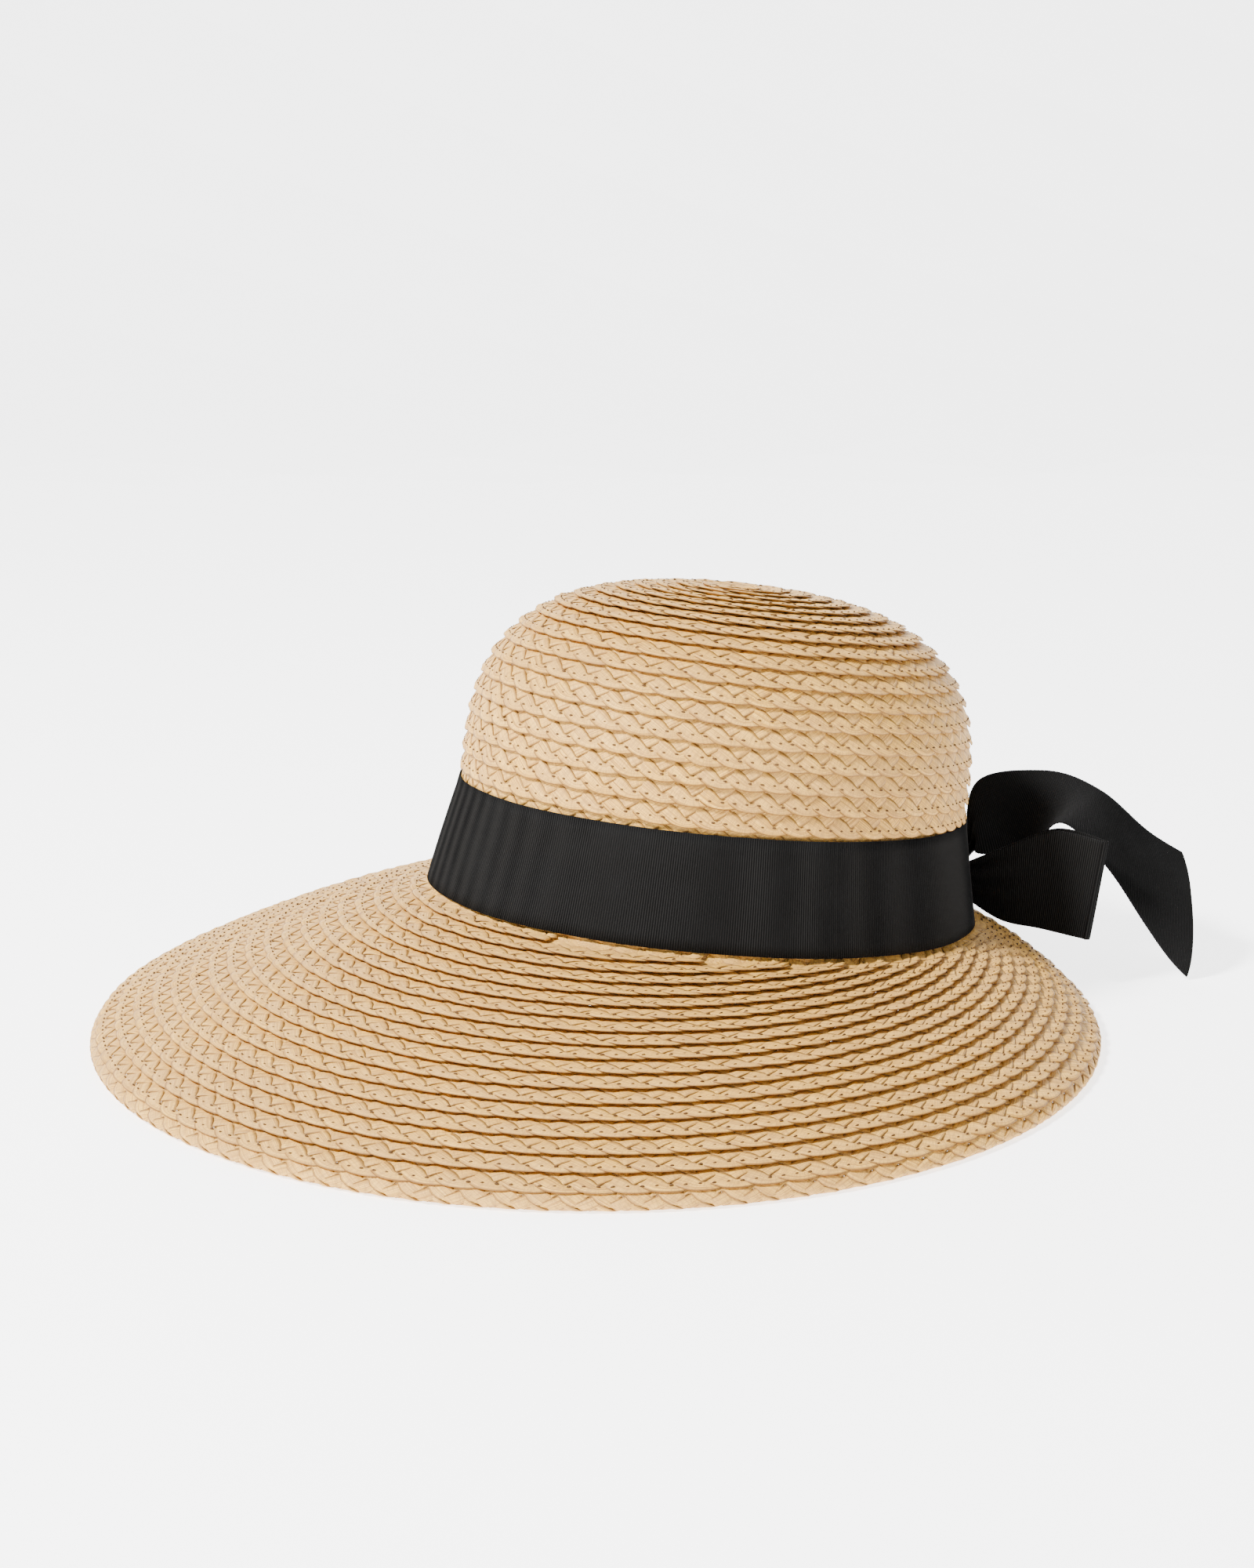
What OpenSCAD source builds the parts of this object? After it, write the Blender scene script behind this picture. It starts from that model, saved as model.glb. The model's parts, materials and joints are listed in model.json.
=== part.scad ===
// Straw sun hat: plaited straw sewn in overlapping rows, with a ribbon band and a bow at the back.
// It stands on its brim. X runs across the head, +Y to the back, +Z up, and the origin is the
// centre of its footprint on the table.

/* [Crown] */
// Outside width of the crown where it meets the brim
crown_w = 177; // [155:1:215]
// Outside length of the crown where it meets the brim, front to back
crown_l = 205; // [180:1:250]
// Height of the crown, along its own axis
crown_h = 115; // [90:1:140]
// How far each side of the crown comes in over the band
crown_taper = 8; // [2:0.5:12]
// Lean of the crown towards the back, in degrees
crown_lean = 7; // [0:0.5:10]
// Radius of the coiled button that the plait starts from
button_r = 9; // [6:0.5:12]

/* [Plait] */
// Thickness of the sewn plait, overlap included
plait_t = 2.5; // [2:0.1:3.5]
// Width that shows of each row of plait
row_pitch = 7; // [6:0.1:9]
// Thickness of the thread that the rows are sewn with
thread_t = 0.5; // [0.3:0.1:0.8]

/* [Brim] */
// Reach of the brim in front of the crown
brim_front = 120; // [80:1:145]
// Reach of the brim at each side
brim_side = 92; // [70:1:115]
// Reach of the brim behind the crown
brim_back = 31; // [26:1:60]
// Height of the crown's foot above the table
brim_rise = 39; // [34:1:50]
// Width of the row of plait that is turned under at the rim
edge_w = 10; // [8:0.5:14]
// Thickness of the turned-under row
edge_t = 1.8; // [1.5:0.1:2.5]

/* [Ribbon] */
// Width of the ribbon of the band and the bow
ribbon_w = 38; // [30:1:46]
// Thickness of the ribbon
ribbon_t = 0.6; // [0.4:0.1:0.8]
// Width of the knot, across the hat
knot_w = 16; // [12:0.5:20]
// Height of the knot
knot_h = 22; // [18:0.5:28]
// Depth of the knot, out from the band
knot_d = 11; // [9:0.5:14]
// Gap between the two layers of a loop at its middle
loop_gap = 7; // [3:0.5:10]

/* [Sweatband] */
// Height of the sweatband
sweat_h = 30; // [24:1:36]
// Thickness of the sweatband
sweat_t = 0.8; // [0.6:0.1:1.2]
// Gap between the sweatband and the crown
sweat_gap = 1.2; // [1:0.1:2]
// Width of the overlap where the sweatband's ends are joined
sweat_lap = 12; // [8:1:16]
// Width of the blank size label
label_w = 24; // [16:1:32]

/* [Hidden] */

straw = "#d9b483";
straw_dark = "#b98f5c";
thread_colour = "#a9814f";
black = "#17171a";
black_soft = "#232327";
label_white = "#ece8df";

AROUND = 60;         // facets around the crown, the brim and each turn of sewing thread
SHAPE = 3.3;         // how square the shoulder of the crown is, seen from the side
ROUND = 2.5;         // how square the dome is
FIT = 0.05;          // gap between pieces that are sewn face to face

foot_h = 37;         // height of the tapering foot of the crown, behind the band
dome_h = crown_h - foot_h;
tip_from = 0.5;      // where the crown's side ends and its tip begins, as a share of the dome's quarter turn

// The sewn layers, as distances in from the crown's outside
inside = plait_t;
sweat_in = plait_t + sweat_gap;
lining_in = sweat_in + sweat_t;
band_out = -ribbon_t - FIT;
join_out = band_out - ribbon_t - FIT;

// The rim, and the knot on the back of the band
knot_up = ribbon_w / 2 - 4.5;  // height of the knot along the crown's axis
tail_reach = 77;     // how far behind the knot the long tail reaches
knot_back = (crown_l / 2 - crown_taper * knot_up / foot_h - join_out + knot_d / 2 + 0.5)
  * cos(crown_lean) + knot_up * sin(crown_lean);
crown_y = (crown_l / 2 + brim_front - knot_back - tail_reach) / 2;
rim_x = crown_w / 2 + brim_side;
rim_y = (brim_front + crown_l + brim_back) / 2;
rim_mid = crown_y + (brim_back - brim_front) / 2;
knot_z = brim_rise - (knot_back - knot_up * sin(crown_lean)) * tan(crown_lean)
  + knot_up * cos(crown_lean);
knot = [0, crown_y + knot_back, knot_z];
knot_tilt = atan(crown_taper / foot_h) - crown_lean;

// The ribbon's loops and tails, as stations out from the knot: [x, y, z, the direction of the
// ribbon's width in x, y and z, and its width there as a share of the ribbon's]. They start
// clear of the knot's side and back, and the long tail's last one puts its tip on the table.
side_x = knot_w / 2;
back_y = knot_d / 2;
tip_z = 0.72 * ribbon_w / 2 + 1 - knot_z;
LONG_TAIL = [
  [2, back_y + 4.5, 7, 0.80, -0.20, -0.56, 0.30],
  [1, back_y + 8.5, 15.5, 0.58, -0.39, -0.72, 0.88],
  [8, back_y + 28.5, 17, 0.51, -0.5, -0.7, 1],
  [28, back_y + 36.5, 22, 0.48, -0.87, -0.14, 1],
  [44, back_y + 48.5, 6, 0.43, -0.88, -0.18, 1],
  [60, back_y + 59.5, -10, 0.12, -0.87, -0.48, 1],
  [72, tail_reach, tip_z, -0.37, -0.60, -0.72, 1]
];
SHORT_TAIL = [
  [-6, back_y + 7.5, -10, 0.10, 0.40, -0.92, 0.28],
  [-20, back_y + 12.5, -11, 0, 0.38, -0.93, 0.85],
  [-36, back_y + 18.5, -16, 0, 0.36, -0.93, 1],
  [-52, back_y + 23.5, -20, 0.10, 0.35, -0.93, 1]
];
NEAR_LOOP = [
  [side_x + 2.5, 2, -5, 0, 0, -1, 0.28],
  [side_x + 18, 9, -4, 0, 0, -1, 0.74],
  [side_x + 34, 17, 0, -0.05, -0.05, -1, 1],
  [side_x + 52, 24, -1, -0.10, -0.10, -1, 1]
];
FAR_LOOP = [
  [-side_x - 2.5, 2, 5, 0, 0, -1, 0.28],
  [-side_x - 18, 7, 17, 0, 0, -1, 0.74],
  [-side_x - 33, 10, 25, 0, 0, -1, 1],
  [-side_x - 49, 13, 28, 0.10, 0, -1, 1]
];
cut_slant = 1.5;     // how far a tail's slanting cut runs back, in stations

function mix(a, b, t) = a + (b - a) * t;
function unit(v) = v / norm(v);

// A point of the crown: its height along the crown's axis, its angle and how far in it is
function crown_at(h, a, in) =
  let(
    share = h <= foot_h ? 1 : pow(max(0, 1 - pow((h - foot_h) / (dome_h - in), SHAPE)), 1 / ROUND),
    less = crown_taper * min(1, h / foot_h) + in
  ) leaned([(crown_w / 2 - less) * share * cos(a), (crown_l / 2 - less) * share * sin(a), h]);
// A point on the crown's own axes, leaned back and raised to its place
function leaned(p) = [
  p.x,
  crown_y + p.y * cos(crown_lean) + p.z * sin(crown_lean),
  brim_rise - p.y * sin(crown_lean) + p.z * cos(crown_lean)
];
// Height on the dome at a share of its quarter turn, and at a share of its half width
function dome_height(turn, in) = foot_h + (dome_h - in) * sin(90 * turn);
function height_at(share, in) = foot_h + (dome_h - in) * pow(1 - pow(share, ROUND), 1 / SHAPE);
function crown_ring(h, in) = [for (i = [1 : AROUND]) crown_at(h, 360 / AROUND * i, in)];

// The brim's upper face at share s of the way from the crown to the rim, lowered by drop
function front_share(a) = (1 - sin(a)) / 2;
function bell(a) = 0.5 - 0.2 * pow(front_share(a), 2) + 0.13 * pow(1 - front_share(a), 2);
function brim_at(s, a, drop) =
  let(
    foot = crown_at(0, a, 0),
    rim = [rim_x * cos(a), rim_mid + rim_y * sin(a), edge_t + plait_t],
    p = mix(foot, rim, s)
  ) [p.x, p.y, mix(foot.z, rim.z, s - bell(a) * s * (1 - s)) - drop];
function brim_ring(s, drop) = [for (i = [1 : AROUND]) brim_at(s, 360 / AROUND * i, drop)];
function brim_width(a) =
  norm(brim_at(1, a, 0) - brim_at(0.5, a, 0)) + norm(brim_at(0.5, a, 0) - brim_at(0, a, 0));
// The share of the way out that is this far in from the rim
function in_from_rim(d, a) = 1 - d / brim_width(a);

// A smooth value between the stations of a list
function along(list, x) =
  let(
    last = len(list) - 1,
    i = min(floor(x), last - 1),
    t = x - i,
    a = list[max(0, i - 1)],
    b = list[i],
    c = list[i + 1],
    d = list[min(last, i + 2)]
  ) b + t / 2 * (c - a + t * (2 * a - 5 * b + 4 * c - d + t * (3 * b - a - 3 * c + d)));
// A point of a ribbon: x along its stations, u from -1 to 1 across it
function ribbon_at(list, x, u) =
  let(s = along(list, x))
  knot + [s[0], s[1], s[2]] + unit([s[3], s[4], s[5]]) * u * s[6] * ribbon_w / 2;
function ribbon_normal(list, x, u) =
  let(e = 0.05, x0 = max(0, x - e), x1 = min(len(list) - 1, x + e))
  unit(cross(
    ribbon_at(list, x1, u) - ribbon_at(list, x0, u),
    ribbon_at(list, x, 1) - ribbon_at(list, x, -1)
  ));
// The points across a ribbon, on the face that is off from its middle
function across(list, x, slant, off) = [
  for (u = [-1 : 0.5 : 1])
    let(at = x * (1 - slant * (1 - u) / 2 / (len(list) - 1)))
    ribbon_at(list, at, u) + off * ribbon_normal(list, at, u)
];
function turned(points) = [for (i = [len(points) - 1 : -1 : 0]) points[i]];

// A solid through rings of points, closed on itself or with its ends filled. The second half of each
// ring is split along the other diagonal, so that the two faces of a thin twisted sheet match.
module skin(rings, closed = false) {
  count = len(rings);
  size = len(rings[0]);
  sides = [
    for (i = [0 : count - (closed ? 1 : 2)], j = [0 : size - 1])
      let(
        a = i * size + j,
        b = i * size + (j + 1) % size,
        c = (i + 1) % count * size + (j + 1) % size,
        d = (i + 1) % count * size + j
      ) each j < size / 2 ? [[a, c, b], [a, d, c]] : [[a, d, b], [b, d, c]]
  ];
  zigzag = [for (k = [0 : size - 1]) k % 2 == 0 ? k / 2 : size - (k + 1) / 2];
  last = (count - 1) * size;
  ends = closed ? [] : [
    for (k = [0 : size - 3])
      let(
        even = k % 2 == 0,
        a = zigzag[k],
        b = zigzag[k + (even ? 2 : 1)],
        c = zigzag[k + (even ? 1 : 2)]
      ) each [[a, b, c], [last + a, last + c, last + b]]
  ];
  polyhedron([for (ring = rings, p = ring) p], concat(sides, ends), convexity = 6);
}

// A ring of the crown's own shape, between two heights and two depths
module crown_band(low, high, outer, inner) {
  heights = [low, min(foot_h, (low + high) / 2), min(foot_h, high), high];
  skin(concat(
    [for (h = heights) crown_ring(h, outer)],
    [for (h = turned(heights)) crown_ring(h, inner)]
  ), closed = true);
}

// The height nearest to h that is halfway between two seams
function between_rows(h) = (round(h / row_pitch - 0.5) + 0.5) * row_pitch;

// A patch of the crown's own shape, width wide around one angle. It bends where the foot ends.
module crown_patch(angle, width, low, high, outer, inner) {
  half = width / (crown_w + crown_l) * 2 * 180 / PI;
  heights = [low, high > foot_h ? foot_h : (low + high) / 2, high];
  skin([
    for (a = [angle - half : half / 2 : angle + half])
      concat(
        [for (h = heights) crown_at(h, a, inner)],
        [for (h = turned(heights)) crown_at(h, a, outer)]
      )
  ]);
}

// A flat ribbon along its stations
module ribbon(list, slant = 0) {
  skin([
    for (x = [0 : 0.25 : len(list) - 1])
      concat(across(list, x, slant, -ribbon_t / 2), turned(across(list, x, slant, ribbon_t / 2)))
  ]);
}

// A loop of ribbon: out on one layer, round a fold and back on the other
module ribbon_loop(list) {
  last = len(list) - 1;
  steps = [for (x = [0 : 0.25 : last]) x];
  gap = function (x) 0.8 + (loop_gap / 2 - 0.8) * sin(180 * x / last);
  fold = [for (a = [-60 : 30 : 60]) a];
  out_at = function (x, side, lift) across(list, x, 0, side * (gap(x) + lift));
  round_at = function (a, lift)
    let(
      flat = across(list, last, 0, 0),
      side = across(list, last, 0, 1),
      ahead = unit(cross(flat[4] - flat[0], side[2] - flat[2]))
    )
    [for (i = [0 : 4]) flat[i]
      + ((side[i] - flat[i]) * sin(a) - ahead * cos(a)) * (gap(last) + lift)];
  layer = function (lift) concat(
    [for (x = steps) out_at(x, -1, lift)],
    [for (a = fold) round_at(a, lift)],
    [for (x = turned(steps)) out_at(x, 1, lift)]
  );
  outer = layer(ribbon_t);
  inner = layer(0);
  skin([for (i = [0 : len(outer) - 1]) concat(outer[i], turned(inner[i]))]);
}

// A stitch through the crown's wall: a bar on the inside and two legs out to the ribbon
module tack(angle, h, width, reach) {
  from = crown_at(h, angle, inside + thread_t / 2);
  out = unit(crown_at(h, angle, 0) - crown_at(h, angle, inside));
  translate(from) rotate([0, 0, atan2(out.y, out.x)]) {
    rotate([90, 0, 0]) cylinder(d = thread_t, h = width, center = true, $fn = 16);
    for (side = [-1, 1])
      translate([0, side * (width - thread_t) / 2, 0])
        rotate([0, 90 - asin(out.z), 0]) cylinder(d = thread_t, h = reach, $fn = 16);
  }
}

// A closed outline between an ellipse and a rectangle
module pillow(width, height) {
  power = function (v) sign(v) * pow(abs(v), 0.7);
  polygon([for (a = [0 : 15 : 345]) [width / 2 * power(cos(a)), height / 2 * power(sin(a))]]);
}

// Puts a shape that runs along X at the knot, leaning with the band
module at_knot() {
  translate(knot) rotate([knot_tilt, 0, 0]) rotate([90, 0, 90]) children();
}

button_share = button_r / (crown_w / 2 - crown_taper);

module crown_button() {
  color(straw_dark) {
    low = height_at(button_share, inside);
    high = height_at(button_share, 0);
    fit = 1 - FIT / button_r;
    ring = function (share, h)
      [for (i = [1 : AROUND / 2]) let(a = 720 / AROUND * i) leaned([
        (crown_w / 2 - crown_taper) * share * cos(a),
        (crown_l / 2 - crown_taper) * share * sin(a),
        h
      ])];
    skin([
      ring(button_share * fit * 0.97, low),
      ring(button_share * fit * 0.97, high),
      ring(button_share * 0.6, high + 0.9),
      ring(button_share * 0.2, high + 0.5)
    ]);
  }
}

module crown_tip() {
  color(straw) {
    edge = asin(pow(1 - pow(button_share, ROUND), 1 / SHAPE)) / 90;
    turns = [for (k = [0 : 7]) mix(tip_from, edge, 1 - pow(1 - k / 7, 1.4))];
    skin(concat(
      [for (t = turns) crown_ring(dome_height(t, 0), 0)],
      [for (t = turned(turns)) crown_ring(dome_height(t, inside), inside)]
    ), closed = true);
  }
}

module crown_side() {
  color(straw) {
    turns = [tip_from, tip_from * 0.75, tip_from * 0.5, tip_from * 0.25];
    skin(concat(
      [crown_ring(0, 0), crown_ring(foot_h, 0)],
      [for (t = turned(turns)) crown_ring(dome_height(t, 0), 0)],
      [for (t = turns) crown_ring(dome_height(t, inside), inside)],
      [crown_ring(foot_h, inside), crown_ring(0, inside)]
    ), closed = true);
  }
}

// Sewing thread along the rows, as it lies on the inside of the crown
module crown_seam_thread() {
  color(thread_colour) {
    near = inside + 0.1;
    loop = function (points) [for (i = [1 : AROUND]) points(360 / AROUND * i)];
    side_top = dome_height(tip_from, 0);
    for (h = [row_pitch : row_pitch : side_top])
      skin(loop(function (a) [
        crown_at(h + thread_t / 2, a, near),
        crown_at(h - thread_t / 2, a, near),
        crown_at(h, a, near + thread_t)
      ]), closed = true);
    side_r = crown_at(side_top, 0, near).x;
    for (r = [button_r + row_pitch : row_pitch : side_r - row_pitch / 2])
      skin(loop(function (a)
        let(
          h = height_at(r / (crown_w / 2 - crown_taper), near),
          p = crown_at(h, a, near),
          across_thread = unit([p.x, p.y - leaned([0, 0, h]).y, 0]) * thread_t / 2,
          down = [0, 0, -0.3]
        ) [p - across_thread + down, p + across_thread + down, p + down * 2 - [0, 0, thread_t / 2]]
      ), closed = true);
  }
}

module brim() {
  color(straw) {
    steps = 6;
    skin(concat(
      [[for (p = crown_ring(0, inside)) p - [0, 0, plait_t]]],
      [for (i = [0 : steps]) brim_ring(i / steps, plait_t)],
      [for (i = [steps : -1 : 0]) brim_ring(i / steps, 0)],
      [crown_ring(0, inside)]
    ), closed = true);
  }
}

// The last row, turned under and flat where the hat stands on it
module brim_edge() {
  color(straw_dark) {
    flat_w = 3;
    skin([
      for (i = [1 : AROUND])
        let(
          a = 360 / AROUND * i,
          s = in_from_rim(edge_w, a),
          rim = brim_at(1, a, plait_t + FIT),
          flat = brim_at(in_from_rim(flat_w, a), a, 0)
        ) [
          [rim.x, rim.y, 0],
          [flat.x, flat.y, 0],
          brim_at(s, a, plait_t + edge_t),
          brim_at(s, a, plait_t + FIT),
          rim
        ]
    ], closed = true);
  }
}

// Sewing thread under the brim: rows further in run out where the brim gets narrow at the back
module brim_seam_thread() {
  color(thread_colour) {
    low = plait_t + 0.1;
    for (d = [edge_w + row_pitch : row_pitch : brim_width(270) - row_pitch]) {
      rows = [
        for (i = [0 : AROUND - 1])
          let(a = 90 + 360 / AROUND * (i + 0.5), s = in_from_rim(d, a))
          if (s > 0.04) [
            brim_at(s - thread_t / 200, a, low),
            brim_at(s + thread_t / 200, a, low),
            brim_at(s, a, low + thread_t)
          ]
      ];
      skin(rows, closed = len(rows) == AROUND);
    }
  }
}

// The loose end of the plait, tucked under beside the turned-under row
module plait_end() {
  color(straw_dark) {
    gap = 4 * FIT;
    skin([
      for (a = [96 : 360 / AROUND : 108])
        let(
          s = in_from_rim(edge_w + 0.5, a),
          s_in = in_from_rim(edge_w + 6.5, a)
        ) [
          brim_at(s, a, plait_t + gap),
          brim_at(s, a, plait_t + edge_t),
          brim_at(s_in, a, plait_t + edge_t),
          brim_at(s_in, a, plait_t + gap)
        ]
    ]);
  }
}

module sweatband() {
  color(black_soft) crown_band(0.5, sweat_h, sweat_in, lining_in);
}

module sweatband_join() {
  color(black_soft)
    crown_patch(90, sweat_lap, 4, sweat_h - 1, lining_in + FIT * 4, lining_in + sweat_t + FIT * 4);
}

module sweatband_thread() {
  color(black)
    skin([
      for (i = [1 : AROUND])
        let(a = 360 / AROUND * i, in = lining_in + FIT)
        [crown_at(2 + thread_t, a, in), crown_at(2, a, in), crown_at(2 + thread_t / 2, a, in + thread_t)]
    ], closed = true);
}

module size_label() {
  color(label_white)
    crown_patch(108, label_w, 8, sweat_h - 8, lining_in + FIT * 4, lining_in + 0.35 + FIT * 4);
}

module hat_band() {
  color(black) crown_band(0.6, ribbon_w + 0.6, band_out, -FIT);
}

module band_join() {
  color(black) crown_patch(90, ribbon_w * 0.6, 1, ribbon_w + 0.2, join_out, band_out - FIT);
}

// Stitches that hold the band to the crown at the front and both sides
module band_tacks() {
  color(black)
    for (angle = [0, 180, 270]) tack(angle, between_rows(ribbon_w - row_pitch), 4, plait_t + ribbon_t / 2);
}

// The gathered middle of the bow, inside the knot
module bow_core() {
  color(black)
    at_knot() translate([0, 0, -knot_w / 2 - 0.5])
      linear_extrude(knot_w + 1) pillow(knot_d - 4 * ribbon_t - 2 * FIT, knot_h - 4 * ribbon_t - 2 * FIT);
}

// The short piece of ribbon wrapped round the bow's middle
module bow_knot() {
  color(black)
    at_knot() translate([0, 0, -knot_w / 2])
      linear_extrude(knot_w) difference() {
        pillow(knot_d, knot_h);
        pillow(knot_d - 4 * ribbon_t, knot_h - 4 * ribbon_t);
      }
}

// Stitch that holds the bow to the band and the crown
module bow_tack() {
  color(black) tack(90, between_rows(knot_up), 5, plait_t - 2 * join_out + 1);
}

module bow_loop_near() {
  color(black) ribbon_loop(NEAR_LOOP);
}

module bow_loop_far() {
  color(black) ribbon_loop(FAR_LOOP);
}

module bow_tail_long() {
  color(black) ribbon(LONG_TAIL, cut_slant);
}

module bow_tail_short() {
  color(black) ribbon(SHORT_TAIL, cut_slant);
}

crown_button();
crown_tip();
crown_side();
crown_seam_thread();
brim();
brim_edge();
brim_seam_thread();
plait_end();
sweatband();
sweatband_join();
sweatband_thread();
size_label();
hat_band();
band_join();
band_tacks();
bow_core();
bow_knot();
bow_tack();
bow_loop_near();
bow_loop_far();
bow_tail_long();
bow_tail_short();
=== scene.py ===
"""Straw sun hat: the plait, the sewing and the ribbon, on the frame of the CAD model.

Shapes are worked out in millimetres, in the frame that the CAD model has, and made in metres.
The plait is real: flat strands that pass over and under each other, laid in overlapping rows.
"""

import json
import math

import bpy
import numpy as np
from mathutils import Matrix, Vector

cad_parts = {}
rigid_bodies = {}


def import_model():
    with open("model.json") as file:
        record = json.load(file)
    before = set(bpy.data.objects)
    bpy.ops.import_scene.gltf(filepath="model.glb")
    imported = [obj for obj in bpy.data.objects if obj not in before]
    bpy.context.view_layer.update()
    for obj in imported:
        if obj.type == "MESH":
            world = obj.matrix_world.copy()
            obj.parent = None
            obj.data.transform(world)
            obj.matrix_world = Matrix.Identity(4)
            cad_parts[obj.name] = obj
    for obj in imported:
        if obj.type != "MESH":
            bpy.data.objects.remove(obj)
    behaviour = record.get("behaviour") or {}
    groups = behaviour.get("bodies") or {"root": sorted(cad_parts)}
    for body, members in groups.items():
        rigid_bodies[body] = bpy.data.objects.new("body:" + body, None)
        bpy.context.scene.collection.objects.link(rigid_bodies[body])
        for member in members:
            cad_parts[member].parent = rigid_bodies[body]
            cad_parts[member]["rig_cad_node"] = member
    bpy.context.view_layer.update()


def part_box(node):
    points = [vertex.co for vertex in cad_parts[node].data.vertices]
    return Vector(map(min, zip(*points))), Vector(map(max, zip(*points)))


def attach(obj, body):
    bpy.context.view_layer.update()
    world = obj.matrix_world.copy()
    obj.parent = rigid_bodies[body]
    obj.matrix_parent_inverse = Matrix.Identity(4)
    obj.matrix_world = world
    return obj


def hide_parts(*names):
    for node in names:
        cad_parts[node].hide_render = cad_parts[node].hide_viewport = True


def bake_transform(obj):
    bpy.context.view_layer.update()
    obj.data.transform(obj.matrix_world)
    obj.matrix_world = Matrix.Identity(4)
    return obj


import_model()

MM = 0.001


def box_mm(node):
    low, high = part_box(node)
    return np.array(low) / MM, np.array(high) / MM


# ---- Sizes, in millimetres, as in the CAD model ----------------------------------------------
CROWN_W, CROWN_L, CROWN_H = 177.0, 205.0, 115.0   # outside of the crown
TAPER, LEAN = 8.0, math.radians(7)                # how it narrows over the band, and leans back
FOOT_H = 37.0                                     # height of the part behind the band
SHAPE, ROUND = 3.3, 2.5                           # how square the dome is
PLAIT_T, EDGE_T = 2.5, 1.8                        # thickness of the sewn plait and of its edge row
ROW_PITCH = 7.0                                   # width that shows of each row
RIBBON_W, RIBBON_T = 38.0, 0.6
SWEAT_H, SWEAT_IN, SWEAT_T = 30.0, 3.7, 0.8
KNOT_W, KNOT_H, KNOT_D = 16.0, 22.0, 11.0

# Places, from the frame
edge_low, edge_high = box_mm("brim_edge")
knot_low, knot_high = box_mm("bow_knot")
KNOT = (knot_low + knot_high) / 2
RIM_X = (edge_high[0] - edge_low[0]) / 2
RIM_Y = (edge_high[1] - edge_low[1]) / 2
RIM_MID = (edge_high[1] + edge_low[1]) / 2
RIM_Z = EDGE_T + PLAIT_T
BRIM_FRONT, BRIM_BACK, BRIM_RISE = 120.0, 31.0, 39.0
CROWN_Y = RIM_MID - (BRIM_BACK - BRIM_FRONT) / 2

# The plait
STRANDS = 4                        # strands in a row of plait
STRAND_PITCH = 9.8                 # from one strand to the next, along a row
STRAND_ANGLE = math.radians(28)    # between a strand and its row
STRAND_W, STRAND_T = 5.6, 0.42
WEAVE = 0.30                       # how far a strand rises over, and dips under, the others
STEP = 1.45                        # length of one facet of a strand
LIFT, TILT = -1.2, 0.25            # height of a row's middle, and how far its lower edge lifts
PRESS = 0.5                        # how far the band presses the rows behind it in
SHARP = 0.93                       # how sharply a strand turns at a row's edge: 1 is a corner
TURN_FROM = 0.7                    # how far out a strand's turn starts, as a share of the row
TURN_THICK, TURN_NARROW = 1.1, 0.42    # how much a turning strand thickens and narrows
TURN_RISE = 0.12                   # how far it stands up there
STITCH = 4.15                      # from one stitch to the next
DENT = 0.4                         # how deep a stitch pulls the straw in
SEAM_UP = -4.2                     # the seam's place on a row, from its middle

rng = np.random.default_rng(11)


# ---- Surfaces --------------------------------------------------------------------------------
def leaned(x, y, z):
    """A point on the crown's own axes, leaned back and raised to its place."""
    return np.stack([
        x,
        CROWN_Y + y * math.cos(LEAN) + z * math.sin(LEAN),
        BRIM_RISE - y * math.sin(LEAN) + z * math.cos(LEAN),
    ], -1)


def crown_wall(h, a, inset=0.0):
    """The crown at height h along its axis, up to the top of the band."""
    share = np.where(
        h > FOOT_H,
        np.maximum(0, 1 - (np.maximum(h - FOOT_H, 0) / (CROWN_H - FOOT_H)) ** SHAPE) ** (1 / ROUND),
        1.0,
    )
    less = TAPER * np.minimum(1, h / FOOT_H) + inset
    return leaned((CROWN_W / 2 - less) * share * np.cos(a), (CROWN_L / 2 - less) * share * np.sin(a), h)


def meridian():
    """Distance from the top of the crown down to its foot, with the height and share there."""
    turn = np.linspace(0, math.pi / 2, 500)
    share = np.sin(turn) ** (2 / ROUND)
    height = FOOT_H + (CROWN_H - FOOT_H) * np.cos(turn).clip(0) ** (2 / SHAPE)
    below = np.linspace(FOOT_H, -6, 60)[1:]
    share = np.concatenate([share, np.ones(len(below))])
    height = np.concatenate([height, below])
    reach = ((CROWN_W + CROWN_L) / 4 - TAPER * np.minimum(1, height / FOOT_H)) * share
    step = np.hypot(np.diff(reach), np.diff(height))
    return np.concatenate([[0], np.cumsum(step)]), height, share


DOWN, DOWN_H, DOWN_SHARE = meridian()
CROWN_FOOT = float(np.interp(0, DOWN_H[::-1], DOWN[::-1]))


def crown_surface(m, a):
    """The crown at distance m from its top, at angle a."""
    h, share = np.interp(m, DOWN, DOWN_H), np.interp(m, DOWN, DOWN_SHARE)
    less = TAPER * np.minimum(1, h / FOOT_H)
    return leaned((CROWN_W / 2 - less) * share * np.cos(a), (CROWN_L / 2 - less) * share * np.sin(a), h)


def brim_at(s, a):
    """The brim's upper face at share s of the way out from the crown."""
    foot = crown_wall(np.zeros_like(a), a)
    rim = np.stack([RIM_X * np.cos(a), RIM_MID + RIM_Y * np.sin(a), np.full_like(a, RIM_Z)], -1)
    front = (1 - np.sin(a)) / 2
    bell = 0.5 - 0.2 * front ** 2 + 0.13 * (1 - front) ** 2
    point = foot + (rim - foot) * s[..., None]
    point[..., 2] = foot[..., 2] + (rim[..., 2] - foot[..., 2]) * (s - bell * s * (1 - s))
    return point


def unit(v):
    return v / np.maximum(np.linalg.norm(v, axis=-1, keepdims=True), 1e-9)


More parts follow.
